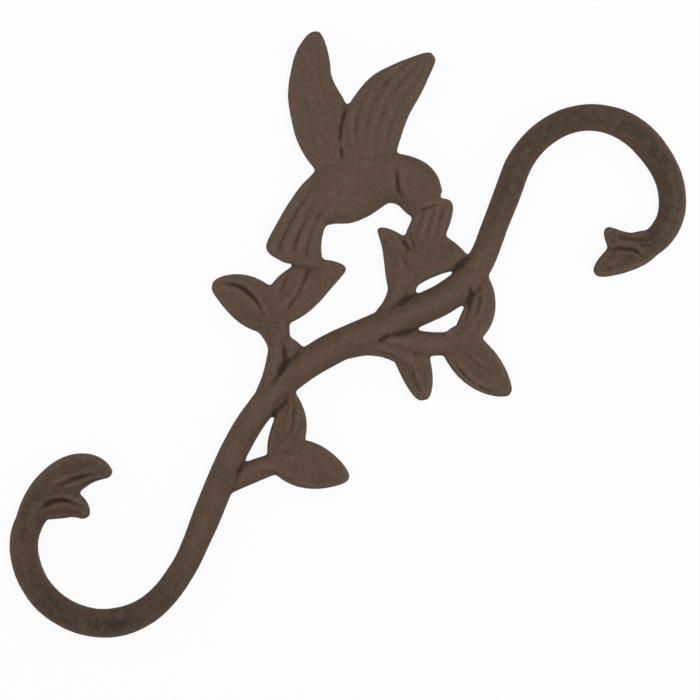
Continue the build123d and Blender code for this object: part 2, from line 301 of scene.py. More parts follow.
# Lines cut into the casting's faces: points, width, depth, and rise of the ridge beside the cut
SCORED = (
    (((-86.6, -84.3), (-83.4, -89.5), (-79.1, -93.1), (-72.7, -96.6)), 1.0, 0.45, 0.1),
    (((-57.9, -81.1), (-52.4, -84.5), (-46.6, -87.4), (-38.0, -88.3)), 1.3, 0.6, 0.2),
    (((-36.8, -86.7), (-34.8, -81.8), (-33.5, -75.8)), 0.8, 0.5, 0.0),
    (((-32.5, -92.3), (-28.1, -94.4), (-23.1, -96.4)), 0.8, 0.5, 0.0),
    (((-32.7, -97.5), (-28.2, -97.3), (-23.3, -97.3)), 0.8, 0.6, 0.2),
    (((-36.8, -100.5), (-29.8, -101.0), (-20.5, -101.7)), 0.8, 0.4, 0.3),
    (((0.5, -85.2), (2.8, -87.4), (7.1, -91.6), (11.4, -96.8)), 1.1, 0.8, 0.1),
    (((5.4, -83.8), (8.6, -87.5), (12.6, -92.3)), 0.9, 0.5, 0.3),
    (((17.9, -108.3), (28.6, -108.5), (36.4, -105.7), (42.4, -100.7)), 0.9, 0.5, 0.2),
    (((16.4, -104.3), (26.6, -101.7), (37.8, -98.9)), 0.9, 0.25, 0.1),
    (((12.4, -124.5), (20.7, -125.9), (25.5, -126.0)), 0.8, 0.4, 0.1),
    (((-2.0, -133.0), (3.8, -128.2), (8.3, -126.0)), 0.9, 0.5, 0.0),
    (((-27.5, -158.6), (-22.3, -160.9), (-18.2, -164.1), (-14.9, -169.0)), 1.4, 1.1, 0.3),
    (((-16.3, -154.6), (-16.7, -162.7), (-14.6, -169.6), (-12.6, -176.4)), 1.3, 0.6, 0.0),
    (((-32.9, -153.2), (-37.2, -143.3), (-42.8, -133.9)), 0.9, 0.35, 0.2),
    (((-39.4, -152.0), (-43.4, -145.8), (-46.9, -140.4)), 0.9, 0.4, 0.25),
    (((-58.9, -167.7), (-52.8, -161.2), (-44.5, -159.2), (-34.3, -160.0)), 0.9, 0.7, 0.4),
    (((-2.3, -170.9), (1.9, -173.2), (6.0, -177.8), (9.2, -184.4)), 0.9, 0.5, 0.3),
    (((10.1, -199.8), (15.8, -193.0), (22.9, -189.2), (30.4, -184.2), (34.5, -176.4)), 0.9, 0.6, 0.2),
    (((5.9, -200.8), (8.4, -204.9), (12.2, -210.6)), 0.9, 0.5, 0.0),
    (((-0.7, -182.4), (-5.6, -176.9), (-7.7, -171.5)), 0.9, 0.5, 0.0),
    (((-31.0, -270.2), (-28.1, -260.0), (-25.3, -251.2)), 0.9, 0.6, 0.2),
    (((-26.3, -265.7), (-23.5, -256.9), (-21.2, -248.7)), 0.9, 0.7, 0.1),
    (((-26.1, -278.6), (-25.8, -271.9), (-22.7, -266.8), (-17.4, -264.2)), 0.9, 0.8, 0.3),
    (((20.2, -32.5), (23.0, -28.1), (26.0, -24.9), (30.4, -23.5)), 0.9, 0.6, 0.2),
    (((26.0, -18.0), (22.0, -22.5), (17.1, -27.8)), 0.8, 0.4, 0.15),
    (((-57.3, -116.3), (-52.4, -112.9), (-48.5, -107.4), (-46.6, -100.4)), 0.9, 0.3, 0.1),
    (((-4.1, -130.5), (-2.1, -124.1), (0.5, -119.1), (2.6, -114.7)), 1.7, 0.8, 0.0),
    (((-11.8, -122.1), (-11.1, -115.5), (-10.5, -110.6), (-10.0, -106.5)), 1.5, 0.6, 0.0),
    (((-9.3, -90.1), (-9.2, -85.7), (-9.6, -81.5), (-10.2, -78.1)), 1.5, 0.6, 0.0),
)


class PlantHookSizes(bpy.types.PropertyGroup):
    """Sizes of the casting."""

    rod_diameter: bpy.props.FloatProperty(
        name="Rod diameter", description="Thickness of the round rod",
        default=0.0112, unit="LENGTH")
    upper_bowl: bpy.props.FloatProperty(
        name="Upper bowl", description="Inside radius of the bowl that hangs",
        default=0.027, unit="LENGTH")
    lower_bowl: bpy.props.FloatProperty(
        name="Lower bowl", description="Inside radius of the bowl that carries",
        default=0.0265, unit="LENGTH")
    bowl_spacing: bpy.props.FloatProperty(
        name="Bowl spacing", description="Distance between the bowls' centres",
        default=0.2375, unit="LENGTH")
    mesh_pitch: bpy.props.FloatProperty(
        name="Mesh pitch", description="Width of the skin's faces",
        default=0.0007, unit="LENGTH", precision=5)
    fillet_passes: bpy.props.IntProperty(
        name="Fillet passes", description="Rounds of smoothing that fill inner corners",
        default=7)
    line_depth: bpy.props.FloatProperty(
        name="Line depth", description="Depth of the scored lines as a share of the tables",
        default=1.35)
    paint_depth: bpy.props.FloatProperty(
        name="Paint depth", description="Thickness of the finish",
        default=0.00012, unit="LENGTH", precision=6)
    grain_depth: bpy.props.FloatProperty(
        name="Grain depth", description="Height of the sand-cast grain",
        default=0.00006, unit="LENGTH", precision=6)
    wobble_depth: bpy.props.FloatProperty(
        name="Wobble depth", description="Height of broad unevenness",
        default=0.00014, unit="LENGTH", precision=6)


class PlantHookColours(bpy.types.PropertyGroup):
    """Colours of the finish and of the stage."""

    brown: bpy.props.FloatVectorProperty(
        name="Brown", description="Main colour of the finish",
        subtype="COLOR", default=(0.128, 0.075, 0.049))
    # Painted shade on the rod's crests; the curled ends take this darker colour too
    crest_shade_colour: bpy.props.FloatVectorProperty(
        name="Crest shade", description="Darker colour on crests and curled ends",
        subtype="COLOR", default=(0.030, 0.023, 0.015))
    # Cooler patches, and a painted cool reflection along the edges
    olive_and_edge_reflection: bpy.props.FloatVectorProperty(
        name="Olive and edge reflection", description="Cooler patches and edges",
        subtype="COLOR", default=(0.058, 0.048, 0.032))
    rust: bpy.props.FloatVectorProperty(
        name="Rust", description="Redder colour in hollows",
        subtype="COLOR", default=(0.066, 0.032, 0.021))
    # Painted shade in hollows and tight lines, and dark sand grain
    hollow_shade_and_grain: bpy.props.FloatVectorProperty(
        name="Hollow shade and grain", description="Dark colour in tight lines",
        subtype="COLOR", default=(0.024, 0.016, 0.011))
    # Paler patches, wear and a painted highlight on fine ridges, and pale grain
    pale_wear_and_highlight: bpy.props.FloatVectorProperty(
        name="Pale wear and highlight", description="Paler colour on ridges",
        subtype="COLOR", default=(0.150, 0.106, 0.080))
    chalk: bpy.props.FloatVectorProperty(
        name="Chalk", description="Small pale specks",
        subtype="COLOR", default=(0.30, 0.26, 0.22))
    paper: bpy.props.FloatVectorProperty(
        name="Paper", description="Floor and backdrop",
        subtype="COLOR", default=(0.93, 0.93, 0.93))
    shade: bpy.props.FloatVectorProperty(
        name="Shade", description="Part of the backdrop that takes shadow",
        subtype="COLOR", default=(0.06, 0.06, 0.06))


class PlantHookStage(bpy.types.PropertyGroup):
    """Camera, lamps and ground."""

    view_width: bpy.props.FloatProperty(
        name="View width", description="Width of the picture at the casting",
        default=0.28, unit="LENGTH")
    view_distance: bpy.props.FloatProperty(
        name="View distance", description="Distance of the camera", default=0.9, unit="LENGTH")
    view_roll: bpy.props.FloatProperty(
        name="View roll", description="Turn of the picture about the view", default=0.9549,
        subtype="ANGLE")
    sky_strength: bpy.props.FloatProperty(
        name="Sky strength", description="Even light from all around", default=0.15)
    lamp_power: bpy.props.FloatProperty(
        name="Lamp power", description="Power of a lamp whose share is 1",
        default=2.7, unit="POWER")
    backdrop_gap: bpy.props.FloatProperty(
        name="Backdrop gap", description="Room behind the casting",
        default=0.0007, unit="LENGTH", precision=5)
    floor_gap: bpy.props.FloatProperty(
        name="Floor gap", description="Room under the casting", default=0.06, unit="LENGTH")


def unit(vectors):
    """Vectors divided by their lengths."""
    return vectors / np.linalg.norm(vectors, axis=-1, keepdims=True)


def smooth_rows(rows, count):
    """Rows between given rows: each stretch is the cubic whose slope at a given row is
    half the step from the row before it to the row after it."""
    rows = np.asarray(rows, float)
    padded = np.concatenate([2 * rows[:1] - rows[1:2], rows, 2 * rows[-1:] - rows[-2:-1]])
    place = np.linspace(0, len(rows) - 1, count)
    index = np.minimum(place.astype(int), len(rows) - 2)
    t = (place - index).reshape((-1,) + (1,) * (rows.ndim - 1))
    before, start, end, after = (padded[index + shift] for shift in range(4))
    bend = 2 * before - 5 * start + 4 * end - after
    twist = 3 * start - before - 3 * end + after
    return 0.5 * (2 * start + (end - before) * t + bend * t**2 + twist * t**3)


def bent_line(root, bend, tip, s):
    """Points and headings of the curve (1-s)²·root + 2s(1-s)·bend + s²·tip."""
    root, bend, tip = (np.asarray(point, float) for point in (root, bend, tip))
    s = s[:, None]
    points = (1 - s) ** 2 * root + 2 * s * (1 - s) * bend + s**2 * tip
    return points, unit((1 - s) * (bend - root) + s * (tip - bend))


def sideways(headings):
    """Headings turned a quarter to the left."""
    return np.stack([-headings[:, 1], headings[:, 0]], axis=-1)


def step(low, high, values):
    """Soft step from 0 to 1 between two values: 3t² - 2t³."""
    t = np.clip((values - low) / (high - low), 0, 1)
    return t * t * (3 - 2 * t)


def skin(rings):
    """Closed skin over a stack of rings: quads between neighbours and a fan over each end."""
    count, around = rings.shape[:2]
    index = np.arange(count * around).reshape(count, around)
    turned = np.roll(index, -1, axis=1)
    quads = np.stack([index[:-1], turned[:-1], turned[1:], index[1:]], axis=-1).reshape(-1, 4)
    hubs = np.repeat([[count * around], [count * around + 1]], around, axis=1)
    fans = np.concatenate([
        np.stack([turned[0], index[0], hubs[0]], axis=-1),
        np.stack([index[-1], turned[-1], hubs[1]], axis=-1),
    ])
    points = np.concatenate([rings.reshape(-1, 3), rings[[0, -1]].mean(axis=1)])
    return points, quads, fans


def oval_skin(middle, side, half, height):
    """Ring at each station: middle + half·cos(a)·side across, height·sin(a) in depth."""
    a = np.linspace(0, 2 * np.pi, AROUND, endpoint=False)
    flat = middle[:, None] + (half[:, None] * np.cos(a))[..., None] * side[:, None]
    depth = height[:, None] * np.sin(a)
    return skin(np.stack([flat[..., 0], depth, flat[..., 1]], axis=-1))


def plate_skin(left, right, depth):
    """Ring at each station: the front runs from left to right at -depth, the back returns at +depth."""
    share = np.linspace(0, 1, depth.shape[1])[:, None]
    flat = left[:, None] * (1 - share) + right[:, None] * share
    front = np.stack([flat[..., 0], -depth, flat[..., 1]], axis=-1)
    back = front[:, ::-1] * (1, -1, 1)
    return skin(np.concatenate([front, back], axis=1))


def plate_depth(s, heights, rib=0.0, fall=LEAF_FALL):
    """Half thickness over a plate. Across u from -1 to 1 it is the height, which runs evenly
    from root to tip, times (1 - fall·|u|)·(0.3 + 0.7·sqrt(1 - |u|⁷)). A rib along the middle
    adds rib·exp(-(u / 0.16)²), faded out at the root and at the tip."""
    u = np.linspace(-1, 1, ACROSS)
    height = heights[0] + (heights[1] - heights[0]) * s
    edge = 0.3 + 0.7 * np.sqrt(1 - np.abs(u) ** 7)
    fade = rib * step(0, 0.15, s) * (1 - step(0.8, 1, s))
    rise = fade[:, None] * np.exp(-((u / 0.16) ** 2))
    return height[:, None] * (1 - fall * np.abs(u)) * edge + rise


def leaf(root, bend, tip, width, rib, power, heights=LEAF_HEIGHTS):
    """Leaf along a bent line: half width = width/2 · sin(pi·s^swell)^power, with a rib along
    the middle."""
    s = np.linspace(*LEAF_RUN, ALONG)
    middle, headings = bent_line(root, bend, tip, s)
    half = (width / 2 * np.sin(np.pi * s**LEAF_SWELL) ** power)[:, None]
    side = sideways(headings) * half
    lower = (heights[0] * LEAF_LOWERED[0], heights[1] * LEAF_LOWERED[1])
    return plate_skin(middle + side, middle - side, plate_depth(s, lower, rib))


def twig(root, bend, tip, root_width, tip_width):
    """Oval stalk along a bent line; its width and its height run evenly from root to tip, and
    close in a quarter round at the root."""
    s = np.linspace(TWIG_START, 1, ALONG)
    middle, headings = bent_line(root, bend, tip, s)
    start = np.clip(s / TWIG_CLOSING, 0, 1)
    closing = np.sqrt(start * (2 - start))
    half = (root_width + (tip_width - root_width) * s) / 2
    height = TWIG_HEIGHTS[0] + (TWIG_HEIGHTS[1] - TWIG_HEIGHTS[0]) * s
    return oval_skin(middle, sideways(headings), half * closing, height * closing)


def plate(rows, heights):
    """Plate over rows of left and right ends."""
    ends = smooth_rows(rows, ALONG)
    s = np.linspace(0, 1, ALONG)
    return plate_skin(ends[:, 0], ends[:, 1], plate_depth(s, heights, fall=PLATE_FALL))


def plate_line(rows, start, end):
    """Line along a plate, whose place across runs evenly from start to end, as far as it
    stays on the plate."""
    s = np.linspace(*LINE_RUN, LINE_POINTS)
    ends = smooth_rows(rows, LINE_STEPS + 1)[(s * LINE_STEPS).astype(int)]
    u = start + (end - start) * s
    share = (u[:, None] + 1) / 2
    points = ends[:, 0] * (1 - share) + ends[:, 1] * share
    return points[np.abs(u) < LINE_REACH]


def bird_body():
    """Oval rings on the rows from the rump to the beak, each as high as its row says."""
    ends = smooth_rows(BODY, ALONG)
    height = smooth_rows(BODY_HEIGHTS, ALONG)
    across = ends[:, 1] - ends[:, 0]
    half = np.linalg.norm(across, axis=1) / 2
    return oval_skin(ends.mean(axis=1), unit(across), half, height)


def circle_run(centre, radius, start, end, count=60):
    """Points of a circle from one angle to another, in degrees."""
    a = np.radians(np.linspace(start, end, count))
    return np.asarray(centre) + radius * np.stack([np.cos(a), np.sin(a)], axis=-1)


def on_circle(centre, radius, angle):
    """Point of a circle at an angle, in degrees."""
    return circle_run(centre, radius, angle, angle, 1)[0]


def bend_run(before, corner, after, radius):
    """Arc that touches both runs at a corner: its centre lies radius / sin(half) along the
    halving line, where half is half the angle between the runs."""
    back, ahead = unit(before - corner), unit(after - corner)
    half = np.arccos(np.dot(back, ahead)) / 2
    centre = corner + unit(back + ahead) * radius / np.sin(half)
    first = corner + back * radius / np.tan(half) - centre
    last = corner + ahead * radius / np.tan(half) - centre
    start = np.degrees(np.arctan2(first[1], first[0]))
    turn = np.degrees(np.arctan2(last[1], last[0])) - start
    return circle_run(centre, radius, start, start + (turn + 180) % 360 - 180)


def touch_angle(centre, radius, corner):
    """Angle, in degrees, at which the line from a corner touches a circle on its right-hand side."""
    offset = corner - centre
    distance = np.linalg.norm(offset)
    return np.degrees(np.arctan2(offset[1], offset[0]) - np.arccos(radius / distance))


def rod_line(sizes):
    """Centre line of the rod and its swell, from the upper curl's end to the lower curl's, at even
    steps. Sway and swell run straight between their given values, and are then averaged."""
    radius = sizes.rod_diameter / MM / 2
    upper, lower, spacing = sizes.upper_bowl / MM, sizes.lower_bowl / MM, sizes.bowl_spacing / MM
    top, bottom = np.array([0, -upper]), np.array([0, -upper - spacing])
    upper, lower = upper + radius, lower + radius
    first = on_circle(top, upper + UPPER_BEND[0], UPPER_BEND[1])
    middle = np.array([MIDDLE_BEND[0], top[1] - MIDDLE_BEND[1] * spacing])
    last = on_circle(bottom, lower + LOWER_BEND[0], LOWER_BEND[1])
    leave = touch_angle(top, upper, first) % 360
    arrive = touch_angle(bottom, lower, last)
    start, end = on_circle(top, upper, leave), on_circle(bottom, lower, arrive)
    top_curl = on_circle(top, upper - CURL_RADIUS, UPPER_CURL[1])
    low_curl = on_circle(bottom, lower - CURL_RADIUS, LOWER_CURL[0])
    runs = (
        circle_run(top_curl, CURL_RADIUS, *UPPER_CURL),
        circle_run(top, upper, UPPER_CURL[1], leave)[1:],
        bend_run(start, first, middle, UPPER_BEND[2]),
        bend_run(first, middle, last, MIDDLE_BEND[2]),
        bend_run(middle, last, end, LOWER_BEND[2]),
        circle_run(bottom, lower, arrive, LOWER_CURL[0]),
        circle_run(low_curl, CURL_RADIUS, *LOWER_CURL)[1:],
    )
    points = np.concatenate(runs)
    way = np.concatenate([[0], np.cumsum(np.linalg.norm(np.diff(points, axis=0), axis=1))])
    even = np.linspace(0, way[-1], int(way[-1]))
    line = np.stack([np.interp(even, way, points[:, axis]) for axis in (0, 1)], axis=-1)
    at, offset, extra = np.transpose(ROD_SWAY)
    window = np.full(SWAY_STEPS, 1 / SWAY_STEPS)
    sway, swell = (
        np.convolve(np.pad(np.interp(even, at, values), SWAY_STEPS // 2, "edge"), window, "valid")
        for values in (offset, extra)
    )
    return line + sway[:, None] * sideways(unit(np.gradient(line, axis=0))), swell


def rod(sizes):
    """Round rings along the rod's centre line; the radius is the rod's own plus the swell."""
    line, swell = rod_line(sizes)
    radius = sizes.rod_diameter / MM / 2 + swell
    return oval_skin(line, sideways(unit(np.gradient(line, axis=0))), radius, radius)


def casting_forms(sizes):
    """Every form of the casting, as skins that overlap where they join."""
    return [
        rod(sizes),
        *(twig(*values) for values in TWIGS),
        *(leaf(*values) for values in LEAVES),
        *(leaf(*values, heights=LOBE_HEIGHTS) for values in LOBES),
        plate(NEAR_WING, NEAR_WING_HEIGHTS),
        plate(FAR_WING, FAR_WING_HEIGHTS),
        plate(TAIL, TAIL_HEIGHTS),
        plate(TRUMPET, BLOSSOM_HEIGHTS),
        plate(SEPAL, SEPAL_HEIGHTS),
        plate(WEB, WEB_HEIGHTS),
        plate(AXIL, WEB_HEIGHTS),
        bird_body(),
    ]


def joined_mesh(forms, pitch):
    """One closed mesh around all the forms, with faces as wide as the pitch."""
    starts = np.cumsum([0] + [len(points) for points, _, _ in forms])
    points = np.concatenate([form[0] for form in forms]) * MM
    quads = np.concatenate([form[1] + start for form, start in zip(forms, starts)])
    fans = np.concatenate([form[2] + start for form, start in zip(forms, starts)])
    rough = bpy.data.meshes.new("rough_casting")
    rough.from_pydata(points.tolist(), [], quads.tolist() + fans.tolist())
    holder = bpy.data.objects.new("rough_casting", rough)
    bpy.context.scene.collection.objects.link(holder)
    remesh = holder.modifiers.new("one_skin", "REMESH")
    remesh.mode = "VOXEL"
    remesh.voxel_size = pitch
    remesh.adaptivity = 0
    graph = bpy.context.evaluated_depsgraph_get()
    mesh = bpy.data.meshes.new_from_object(holder.evaluated_get(graph))
    bpy.data.objects.remove(holder)
    bpy.data.meshes.remove(rough)
    return mesh


def read_vectors(collection, field):
    """Three numbers of every item of a mesh collection, as rows."""
    values = np.empty(len(collection) * 3, np.float32)
    collection.foreach_get(field, values)
    return values.reshape(-1, 3).astype(float)


class Skin:
    """Points, normals and edges of a mesh, in millimetres."""

    def __init__(self, mesh):
        self.mesh = mesh
        self.points = read_vectors(mesh.vertices, "co") / MM
        edges = np.empty(len(mesh.edges) * 2, np.int32)
        mesh.edges.foreach_get("vertices", edges)
        self.edges = edges.reshape(-1, 2)
        self.degree = np.bincount(edges, minlength=len(self.points))[:, None]
        self.refresh()

    def refresh(self):
        """Write the points into the mesh and read its normals."""
        self.mesh.vertices.foreach_set("co", (self.points * MM).astype(np.float32).ravel())
        self.mesh.update()
        self.normals = read_vectors(self.mesh.vertices, "normal")

    def neighbours(self, values):
        """Mean of each point's neighbours, for rows of values."""
        a, b = self.edges.T
        total = np.stack([
            np.bincount(a, values[b, k], len(values)) + np.bincount(b, values[a, k], len(values))
            for k in range(values.shape[1])
        ], axis=-1)
        return total / self.degree

    def smoothed(self, values, passes):
        """Values after passes that each go halfway to the neighbours' mean."""
        for _ in range(passes):
            values = (values + self.neighbours(values)) / 2
        return values

    def fillet(self, passes, fill, wear):
        """Go towards the neighbours' mean by the share fill where that leads outwards, in inner
        corners, and by the smaller share wear elsewhere."""
        for _ in range(passes):
            move = self.neighbours(self.points) - self.points
            outwards = (move * self.normals).sum(axis=1, keepdims=True)
            self.points = self.points + move * np.where(outwards > 0, fill, wear)
        self.refresh()

    def score(self, line, width, depth, ridge):
        """Sink the faces along a line by depth·exp(-(d / width)²), where d is the signed distance
        from it, and raise them beside it by ridge·exp(-((d - 2·width) / width)²). Noise along the
        line makes the cut stronger and weaker."""
        marks = smooth_rows(line, SCORE_POINTS)
        headings = unit(np.gradient(marks, axis=0))
        spots = self.points[:, [0, 2]]
        reach = SCORE_REACH * width
        low, high = marks.min(axis=0) - reach, marks.max(axis=0) + reach
        near = np.flatnonzero(((spots > low) & (spots < high)).all(axis=1))
        offset = spots[near, None] - marks
        nearest = (offset**2).sum(axis=-1).argmin(axis=1)
        gap = offset[np.arange(len(near)), nearest]
        side = np.sign((gap * sideways(headings)[nearest]).sum(axis=-1))
        distance = np.linalg.norm(gap, axis=-1) * side
        across = distance / width
        cut = ridge * np.exp(-((across - 2) ** 2)) - depth * np.exp(-(across**2))
        ends = step(*SCORE_FADE, np.minimum(nearest, len(marks) - 1 - nearest))
        facing = np.abs(self.normals[near, 1])
        rise = cut * ends * facing * (0.85 + 0.5 * cell_noise(self.points[near], *CUT_NOISE))
        self.points[near] += rise[:, None] * self.normals[near]

    def hollow(self, passes, reach):
        """How far each point lies below its smoothed surroundings, as a share of a reach."""
        sunk = ((self.smoothed(self.points, passes) - self.points) * self.normals).sum(axis=1)
        return np.clip(sunk / reach, -1, 1)

    def inner_side(self, centres):
        """How far each point faces the centre of a bowl around it, fading out beyond the bowl."""
        flat, facing = self.points[:, [0, 2]], self.normals[:, [0, 2]]
        share = np.zeros(len(flat))
        for centre in centres:
            offset = np.asarray(centre) - flat
            near = 1 - step(*BOWL_FADE, np.linalg.norm(offset, axis=1))
            share = np.maximum(share, near * (unit(offset) * facing).sum(axis=1))
        return share

    def crest_shade(self, line):
        """Painted shade along the rod's crest: closeness to a line that runs below the faces, 1 near it
        and 0 beside its reach. It is 0 on the stretch between the sprigs, halfway along, and weaker at
        the lower end."""
        share = np.zeros(len(self.points))
        place = np.linspace(-0.5, 0.5, len(line))
        weaker = 1 - CREST_END_LOSS * step(*CREST_END, place)
        darkness = step(*UPPER_CREST, -place) + step(*LOWER_CREST, place) * weaker
        for rows in np.array_split(np.arange(len(share)), CREST_BATCHES):
            gap = self.points[rows][:, None, [0, 2]] - line
            far = np.sqrt((gap**2).sum(axis=-1))
            dark = darkness[far.argmin(axis=1)]
            edge = CREST_REACH + CREST_WIDENING * dark
            share[rows] = (1 - step(CREST_FULL, edge, far.min(axis=1))) * dark
        return share

    def lobe_ends(self):
        """Closeness to the lobes' middle lines, fading out beside them."""
        s = np.linspace(0.15, 1, 12)
        marks = np.concatenate([bent_line(root, bend, tip, s)[0] for root, bend, tip, *_ in LOBES])
        far = np.full(len(self.points), np.inf)
        for mark in marks:
            far = np.minimum(far, np.linalg.norm(self.points[:, [0, 2]] - mark, axis=1))
        return 1 - step(*LOBE_FADE, far)

    def store(self, name, values):
        """Keep a value per point in the mesh, for the finish to read."""
        attribute = self.mesh.attributes.new(name, "FLOAT", "POINT")
        attribute.data.foreach_set("value", values.astype(np.float32))


def cell_noise(points, size, seed):
    """Noise between -1 and 1: seeded random values on a grid of cells, blended softly in between."""
    place = (points - points.min(axis=0)) / size
    corner = place.astype(int)
    values = np.random.default_rng(seed).uniform(-1, 1, corner.max(axis=0) + 2)
    t = step(0, 1, place - corner)
    total = np.zeros(len(points))
    for dx, dy, dz in np.ndindex(2, 2, 2):
        chosen = np.array([dx, dy, dz])
        weight = np.where(chosen == 1, t, 1 - t).prod(axis=1)
        total += weight * values[tuple((corner + chosen).T)]
    return total


class Wire:
    """A shader value. Sums and products written with it add Math nodes."""

    def __init__(self, paint, socket):
        self.paint = paint
        self.socket = socket

    def maths(self, operation, first, second):
        return self.paint.add("ShaderNodeMath", {"operation": operation}, {0: first, 1: second})

    def __add__(self, other):
        return self.maths("ADD", self, other)

    def __sub__(self, other):
        return self.maths("SUBTRACT", self, other)

    def __rsub__(self, other):
        return self.maths("SUBTRACT", other, self)

    def __mul__(self, other):
        return self.maths("MULTIPLY", self, other)

    __radd__ = __add__
    __rmul__ = __mul__


class Paint:
    """The node tree of a material or of the world."""

    def __init__(self, owner):
        owner.use_nodes = True
        self.tree = owner.node_tree
        self.tree.nodes.clear()

    def add(self, kind, settings=None, sockets=None, out=0):
        """Add a node: its settings first, then values or links for its sockets."""
        node = self.tree.nodes.new(kind)
        for name, value in (settings or {}).items():
            setattr(node, name, value)
        for key, value in (sockets or {}).items():
            if isinstance(value, Wire):
                self.tree.links.new(value.socket, node.inputs[key])
            else:
                node.inputs[key].default_value = value
        return Wire(self, node.outputs[out]) if len(node.outputs) else None

    def colour(self, value):
        """A colour with full opacity."""
        return (*value, 1.0)

    def blend(self, factor, first, second):
        """Colour between two colours."""
        return self.add("ShaderNodeMix", {"data_type": "RGBA"}, {0: factor, 6: first, 7: second}, out=2)

    def soft_step(self, value, low, high):
        """0 below one value, 1 above another, and a soft rise between."""
        limits = {"Value": value, "From Min": low, "From Max": high}
        return self.add("ShaderNodeMapRange", {"interpolation_type": "SMOOTHSTEP"}, limits)

    def noise(self, where, scale, detail=3.0, roughness=0.5):
        """Cloudy noise of a scale per metre."""
        sockets = {"Vector": where, "Scale": scale, "Detail": detail, "Roughness": roughness}
        return self.add("ShaderNodeTexNoise", None, sockets)

    def seen(self):
        """1 for rays from the camera and for reflected and refracted ones, 0 for others."""
        rays = [self.add("ShaderNodeLightPath", out=index) for index in (0, 3, 6)]
        total = rays[0] + rays[1] + rays[2]
        return self.add("ShaderNodeMath", {"operation": "MINIMUM"}, {0: total, 1: 1.0})

    def kept(self, name):
        """A value that the mesh keeps for each point."""
        settings = {"attribute_type": "GEOMETRY", "attribute_name": name}
        return self.add("ShaderNodeAttribute", settings, out=2)


def brown_iron(colours):
    """Satin brown finish on sand-cast iron: cloudy brown and olive, painted shade on the rod's crests,
    darker curled ends, paler in patches (most on the bird's side), a painted cool reflection along the
    edges, redder in hollows, painted shade in hollows and tight lines, paler fine ridges (wear and a
    painted highlight), with fine grain and a few pale specks."""
    material = bpy.data.materials.new("brown_iron")
    paint = Paint(material)
    where = paint.add("ShaderNodeTexCoord", out=3)
    clouds = paint.noise(where, 75.0, 4.0, 0.6)
    patches = paint.noise(where, 260.0, 4.0, 0.6)
    grain = paint.noise(where, 1500.0, 3.0, 0.6)
    sand = paint.noise(where, 850.0, 4.0, 0.65)
    hollow, dip, edge_reflection, crest_shade, inner = (
        paint.kept(name) for name in ("hollow", "dip", "edge_reflection", "crest_shade", "inner"))
    cool = paint.soft_step(clouds * 0.6 + patches * 0.4, 0.42, 0.6)
    base = paint.blend(cool * 0.4, paint.colour(colours.brown), paint.colour(colours.olive_and_edge_reflection))
    # Painted shade: darker along the rod's crests, and the same darker colour on the curled ends
    base = paint.blend(crest_shade * (0.75 + clouds * 0.45), base, paint.colour(colours.crest_shade_colour))
    left = 0 - paint.add("ShaderNodeSeparateXYZ", None, {0: where}, out=0)
    # Paler in patches, more towards the bird's side (-X)
    paler_patches = paint.soft_step(left, 0.04, 0.06) * (patches * 0.5)
    paler_patches = paler_patches + paint.soft_step(patches, 0.48, 0.66) * 0.3
    base = paint.blend(paler_patches, base, paint.colour(colours.pale_wear_and_highlight))
    # Painted reflection: faces that turn sideways, along the edges, take a cooler, darker olive
    base = paint.blend(paint.soft_step(edge_reflection, 0.4, 0.9) * 0.75, base, paint.colour(colours.olive_and_edge_reflection))
    red = paint.soft_step(dip + patches * 0.3, 0.4, 1.0) + paint.soft_step(inner, 0.3, 0.9) * 0.4
    base = paint.blend(red * 0.75, base, paint.colour(colours.rust))
    # Painted shade in broad hollows
    base = paint.blend(paint.soft_step(dip, 0.35, 0.9) * 0.5, base, paint.colour(colours.hollow_shade_and_grain))
    # Paler on fine ridges: wear, and a painted highlight
    base = paint.blend(paint.soft_step(0 - hollow, 0.15, 0.8) * 0.55, base, paint.colour(colours.pale_wear_and_highlight))
    # Painted shade in tight lines and fine hollows
    base = paint.blend(paint.soft_step(hollow, 0.12, 1.0) * 0.5, base, paint.colour(colours.hollow_shade_and_grain))
    base = paint.blend(paint.soft_step(sand, 0.42, 0.74) * 0.4, base, paint.colour(colours.hollow_shade_and_grain))
    base = paint.blend(paint.soft_step(grain, 0.5, 0.72) * 0.45, base, paint.colour(colours.pale_wear_and_highlight))
    specks = paint.soft_step(paint.noise(where, 900.0, 1.0), 0.76, 0.82)
    base = paint.blend(specks * 0.6, base, paint.colour(colours.chalk))
    rough = 0.52 + patches * 0.16 + grain * 0.12
    bump = paint.add("ShaderNodeBump", None, {
        "Strength": 1.0, "Distance": 0.0008, "Height": sand * 0.55 + grain * 0.45})
    shader = paint.add("ShaderNodeBsdfPrincipled", None, {
        "Base Color": base, "Roughness": rough, "Normal": bump, "Specular IOR Level": 0.12})
    paint.add("ShaderNodeOutputMaterial", None, {"Surface": shader})
    return material


def paper(colours, name, seen_from_front):
    """Pale stage surface, white to the eye apart from the casting's shadow. A backdrop is there
    only for what looks at its front."""
    material = bpy.data.materials.new(name)
    paint = Paint(material)
    shade = paint.add("ShaderNodeBsdfDiffuse", None, {"Color": paint.colour(colours.shade)})
    glow = paint.add("ShaderNodeEmission", None, {"Color": paint.colour(colours.paper), "Strength": 1.0})
    lit = paint.add("ShaderNodeAddShader", None, {0: shade, 1: glow})
    seen = paint.seen()
    if seen_from_front:
        unseen = paint.add("ShaderNodeBsdfTransparent")
        seen = seen * (1 - paint.add("ShaderNodeNewGeometry", out=6))
    else:
        unseen = paint.add("ShaderNodeBsdfDiffuse", None, {"Color": paint.colour(colours.paper)})
    shown = paint.add("ShaderNodeMixShader", None, {0: seen, 1: unseen, 2: lit})
    paint.add("ShaderNodeOutputMaterial", None, {"Surface": shown})
    return material


